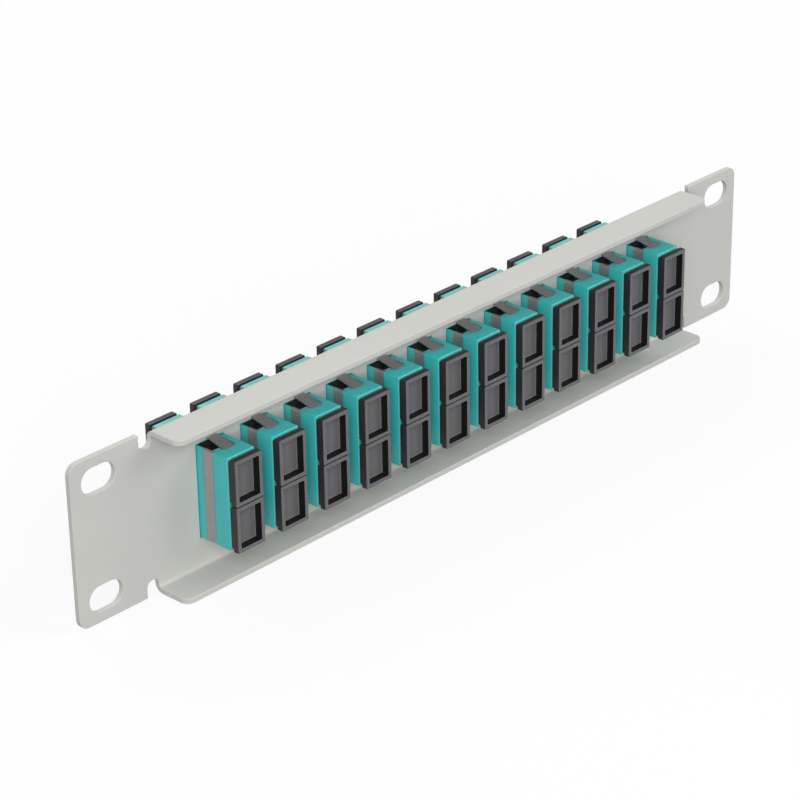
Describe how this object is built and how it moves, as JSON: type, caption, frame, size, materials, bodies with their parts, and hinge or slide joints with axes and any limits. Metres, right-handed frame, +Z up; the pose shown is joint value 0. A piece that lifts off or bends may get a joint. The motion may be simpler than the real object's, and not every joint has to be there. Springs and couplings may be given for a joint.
{
  "type": "fibre patch panel",
  "caption": "Ten inch rack panel of folded sheet with a row of clipped-in duplex fibre adapters and a pull-off dust cap in every port, front and rear.",
  "frame": {"origin": "centre of the rack slot pattern, in the plate's rear face, which meets the rack rails", "axes": "+X along the panel, +Y out of the patching side, +Z up; the flanges and spring clips are on the -Y side"},
  "size_m": [0.254, 0.032, 0.0444],
  "materials": {
    "panel_coat": "fine powder coat, light grey",
    "housing_plastic": "satin moulded, aqua",
    "cap_plastic": "soft moulded, black",
    "spring_steel": "rolled spring sheet",
    "insert_plastic": "moulded, off-white",
    "ceramic": "polished, white"
  },
  "bodies": {
    "panel": {"panel_plate": "panel_coat", "housing_rear_halves": "housing_plastic", "housing_front_halves": "housing_plastic", "retaining_clips": "spring_steel", "latch_inserts": "insert_plastic", "split_sleeves": "ceramic"},
    "cap_rear_01_upper": {"cap_rear_01_upper": "cap_plastic"},
    "cap_rear_01_lower": {"cap_rear_01_lower": "cap_plastic"},
    "cap_rear_02_upper": {"cap_rear_02_upper": "cap_plastic"},
    "cap_rear_02_lower": {"cap_rear_02_lower": "cap_plastic"},
    "cap_rear_03_upper": {"cap_rear_03_upper": "cap_plastic"},
    "cap_rear_03_lower": {"cap_rear_03_lower": "cap_plastic"},
    "cap_rear_04_upper": {"cap_rear_04_upper": "cap_plastic"},
    "cap_rear_04_lower": {"cap_rear_04_lower": "cap_plastic"},
    "cap_rear_05_upper": {"cap_rear_05_upper": "cap_plastic"},
    "cap_rear_05_lower": {"cap_rear_05_lower": "cap_plastic"},
    "cap_rear_06_upper": {"cap_rear_06_upper": "cap_plastic"},
    "cap_rear_06_lower": {"cap_rear_06_lower": "cap_plastic"},
    "cap_rear_07_upper": {"cap_rear_07_upper": "cap_plastic"},
    "cap_rear_07_lower": {"cap_rear_07_lower": "cap_plastic"},
    "cap_rear_08_upper": {"cap_rear_08_upper": "cap_plastic"},
    "cap_rear_08_lower": {"cap_rear_08_lower": "cap_plastic"},
    "cap_rear_09_upper": {"cap_rear_09_upper": "cap_plastic"},
    "cap_rear_09_lower": {"cap_rear_09_lower": "cap_plastic"},
    "cap_rear_10_upper": {"cap_rear_10_upper": "cap_plastic"},
    "cap_rear_10_lower": {"cap_rear_10_lower": "cap_plastic"},
    "cap_rear_11_upper": {"cap_rear_11_upper": "cap_plastic"},
    "cap_rear_11_lower": {"cap_rear_11_lower": "cap_plastic"},
    "cap_rear_12_upper": {"cap_rear_12_upper": "cap_plastic"},
    "cap_rear_12_lower": {"cap_rear_12_lower": "cap_plastic"},
    "cap_front_01_upper": {"cap_front_01_upper": "cap_plastic"},
    "cap_front_01_lower": {"cap_front_01_lower": "cap_plastic"},
    "cap_front_02_upper": {"cap_front_02_upper": "cap_plastic"},
    "cap_front_02_lower": {"cap_front_02_lower": "cap_plastic"},
    "cap_front_03_upper": {"cap_front_03_upper": "cap_plastic"},
    "cap_front_03_lower": {"cap_front_03_lower": "cap_plastic"},
    "cap_front_04_upper": {"cap_front_04_upper": "cap_plastic"},
    "cap_front_04_lower": {"cap_front_04_lower": "cap_plastic"},
    "cap_front_05_upper": {"cap_front_05_upper": "cap_plastic"},
    "cap_front_05_lower": {"cap_front_05_lower": "cap_plastic"},
    "cap_front_06_upper": {"cap_front_06_upper": "cap_plastic"},
    "cap_front_06_lower": {"cap_front_06_lower": "cap_plastic"},
    "cap_front_07_upper": {"cap_front_07_upper": "cap_plastic"},
    "cap_front_07_lower": {"cap_front_07_lower": "cap_plastic"},
    "cap_front_08_upper": {"cap_front_08_upper": "cap_plastic"},
    "cap_front_08_lower": {"cap_front_08_lower": "cap_plastic"},
    "cap_front_09_upper": {"cap_front_09_upper": "cap_plastic"},
    "cap_front_09_lower": {"cap_front_09_lower": "cap_plastic"},
    "cap_front_10_upper": {"cap_front_10_upper": "cap_plastic"},
    "cap_front_10_lower": {"cap_front_10_lower": "cap_plastic"},
    "cap_front_11_upper": {"cap_front_11_upper": "cap_plastic"},
    "cap_front_11_lower": {"cap_front_11_lower": "cap_plastic"},
    "cap_front_12_upper": {"cap_front_12_upper": "cap_plastic"},
    "cap_front_12_lower": {"cap_front_12_lower": "cap_plastic"}
  },
  "joints": [
    {"name": "pull_rear_01_upper", "type": "slide", "parent": "panel", "child": "cap_rear_01_upper", "axis": [0, -1, 0], "range_m": [0, 0.012]},
    {"name": "pull_rear_01_lower", "type": "slide", "parent": "panel", "child": "cap_rear_01_lower", "axis": [0, -1, 0], "range_m": [0, 0.012]},
    {"name": "pull_rear_02_upper", "type": "slide", "parent": "panel", "child": "cap_rear_02_upper", "axis": [0, -1, 0], "range_m": [0, 0.012]},
    {"name": "pull_rear_02_lower", "type": "slide", "parent": "panel", "child": "cap_rear_02_lower", "axis": [0, -1, 0], "range_m": [0, 0.012]},
    {"name": "pull_rear_03_upper", "type": "slide", "parent": "panel", "child": "cap_rear_03_upper", "axis": [0, -1, 0], "range_m": [0, 0.012]},
    {"name": "pull_rear_03_lower", "type": "slide", "parent": "panel", "child": "cap_rear_03_lower", "axis": [0, -1, 0], "range_m": [0, 0.012]},
    {"name": "pull_rear_04_upper", "type": "slide", "parent": "panel", "child": "cap_rear_04_upper", "axis": [0, -1, 0], "range_m": [0, 0.012]},
    {"name": "pull_rear_04_lower", "type": "slide", "parent": "panel", "child": "cap_rear_04_lower", "axis": [0, -1, 0], "range_m": [0, 0.012]},
    {"name": "pull_rear_05_upper", "type": "slide", "parent": "panel", "child": "cap_rear_05_upper", "axis": [0, -1, 0], "range_m": [0, 0.012]},
    {"name": "pull_rear_05_lower", "type": "slide", "parent": "panel", "child": "cap_rear_05_lower", "axis": [0, -1, 0], "range_m": [0, 0.012]},
    {"name": "pull_rear_06_upper", "type": "slide", "parent": "panel", "child": "cap_rear_06_upper", "axis": [0, -1, 0], "range_m": [0, 0.012]},
    {"name": "pull_rear_06_lower", "type": "slide", "parent": "panel", "child": "cap_rear_06_lower", "axis": [0, -1, 0], "range_m": [0, 0.012]},
    {"name": "pull_rear_07_upper", "type": "slide", "parent": "panel", "child": "cap_rear_07_upper", "axis": [0, -1, 0], "range_m": [0, 0.012]},
    {"name": "pull_rear_07_lower", "type": "slide", "parent": "panel", "child": "cap_rear_07_lower", "axis": [0, -1, 0], "range_m": [0, 0.012]},
    {"name": "pull_rear_08_upper", "type": "slide", "parent": "panel", "child": "cap_rear_08_upper", "axis": [0, -1, 0], "range_m": [0, 0.012]},
    {"name": "pull_rear_08_lower", "type": "slide", "parent": "panel", "child": "cap_rear_08_lower", "axis": [0, -1, 0], "range_m": [0, 0.012]},
    {"name": "pull_rear_09_upper", "type": "slide", "parent": "panel", "child": "cap_rear_09_upper", "axis": [0, -1, 0], "range_m": [0, 0.012]},
    {"name": "pull_rear_09_lower", "type": "slide", "parent": "panel", "child": "cap_rear_09_lower", "axis": [0, -1, 0], "range_m": [0, 0.012]},
    {"name": "pull_rear_10_upper", "type": "slide", "parent": "panel", "child": "cap_rear_10_upper", "axis": [0, -1, 0], "range_m": [0, 0.012]},
    {"name": "pull_rear_10_lower", "type": "slide", "parent": "panel", "child": "cap_rear_10_lower", "axis": [0, -1, 0], "range_m": [0, 0.012]},
    {"name": "pull_rear_11_upper", "type": "slide", "parent": "panel", "child": "cap_rear_11_upper", "axis": [0, -1, 0], "range_m": [0, 0.012]},
    {"name": "pull_rear_11_lower", "type": "slide", "parent": "panel", "child": "cap_rear_11_lower", "axis": [0, -1, 0], "range_m": [0, 0.012]},
    {"name": "pull_rear_12_upper", "type": "slide", "parent": "panel", "child": "cap_rear_12_upper", "axis": [0, -1, 0], "range_m": [0, 0.012]},
    {"name": "pull_rear_12_lower", "type": "slide", "parent": "panel", "child": "cap_rear_12_lower", "axis": [0, -1, 0], "range_m": [0, 0.012]},
    {"name": "pull_front_01_upper", "type": "slide", "parent": "panel", "child": "cap_front_01_upper", "axis": [0, 1, 0], "range_m": [0, 0.012]},
    {"name": "pull_front_01_lower", "type": "slide", "parent": "panel", "child": "cap_front_01_lower", "axis": [0, 1, 0], "range_m": [0, 0.012]},
    {"name": "pull_front_02_upper", "type": "slide", "parent": "panel", "child": "cap_front_02_upper", "axis": [0, 1, 0], "range_m": [0, 0.012]},
    {"name": "pull_front_02_lower", "type": "slide", "parent": "panel", "child": "cap_front_02_lower", "axis": [0, 1, 0], "range_m": [0, 0.012]},
    {"name": "pull_front_03_upper", "type": "slide", "parent": "panel", "child": "cap_front_03_upper", "axis": [0, 1, 0], "range_m": [0, 0.012]},
    {"name": "pull_front_03_lower", "type": "slide", "parent": "panel", "child": "cap_front_03_lower", "axis": [0, 1, 0], "range_m": [0, 0.012]},
    {"name": "pull_front_04_upper", "type": "slide", "parent": "panel", "child": "cap_front_04_upper", "axis": [0, 1, 0], "range_m": [0, 0.012]},
    {"name": "pull_front_04_lower", "type": "slide", "parent": "panel", "child": "cap_front_04_lower", "axis": [0, 1, 0], "range_m": [0, 0.012]},
    {"name": "pull_front_05_upper", "type": "slide", "parent": "panel", "child": "cap_front_05_upper", "axis": [0, 1, 0], "range_m": [0, 0.012]},
    {"name": "pull_front_05_lower", "type": "slide", "parent": "panel", "child": "cap_front_05_lower", "axis": [0, 1, 0], "range_m": [0, 0.012]},
    {"name": "pull_front_06_upper", "type": "slide", "parent": "panel", "child": "cap_front_06_upper", "axis": [0, 1, 0], "range_m": [0, 0.012]},
    {"name": "pull_front_06_lower", "type": "slide", "parent": "panel", "child": "cap_front_06_lower", "axis": [0, 1, 0], "range_m": [0, 0.012]},
    {"name": "pull_front_07_upper", "type": "slide", "parent": "panel", "child": "cap_front_07_upper", "axis": [0, 1, 0], "range_m": [0, 0.012]},
    {"name": "pull_front_07_lower", "type": "slide", "parent": "panel", "child": "cap_front_07_lower", "axis": [0, 1, 0], "range_m": [0, 0.012]},
    {"name": "pull_front_08_upper", "type": "slide", "parent": "panel", "child": "cap_front_08_upper", "axis": [0, 1, 0], "range_m": [0, 0.012]},
    {"name": "pull_front_08_lower", "type": "slide", "parent": "panel", "child": "cap_front_08_lower", "axis": [0, 1, 0], "range_m": [0, 0.012]},
    {"name": "pull_front_09_upper", "type": "slide", "parent": "panel", "child": "cap_front_09_upper", "axis": [0, 1, 0], "range_m": [0, 0.012]},
    {"name": "pull_front_09_lower", "type": "slide", "parent": "panel", "child": "cap_front_09_lower", "axis": [0, 1, 0], "range_m": [0, 0.012]},
    {"name": "pull_front_10_upper", "type": "slide", "parent": "panel", "child": "cap_front_10_upper", "axis": [0, 1, 0], "range_m": [0, 0.012]},
    {"name": "pull_front_10_lower", "type": "slide", "parent": "panel", "child": "cap_front_10_lower", "axis": [0, 1, 0], "range_m": [0, 0.012]},
    {"name": "pull_front_11_upper", "type": "slide", "parent": "panel", "child": "cap_front_11_upper", "axis": [0, 1, 0], "range_m": [0, 0.012]},
    {"name": "pull_front_11_lower", "type": "slide", "parent": "panel", "child": "cap_front_11_lower", "axis": [0, 1, 0], "range_m": [0, 0.012]},
    {"name": "pull_front_12_upper", "type": "slide", "parent": "panel", "child": "cap_front_12_upper", "axis": [0, 1, 0], "range_m": [0, 0.012]},
    {"name": "pull_front_12_lower", "type": "slide", "parent": "panel", "child": "cap_front_12_lower", "axis": [0, 1, 0], "range_m": [0, 0.012]}
  ]
}
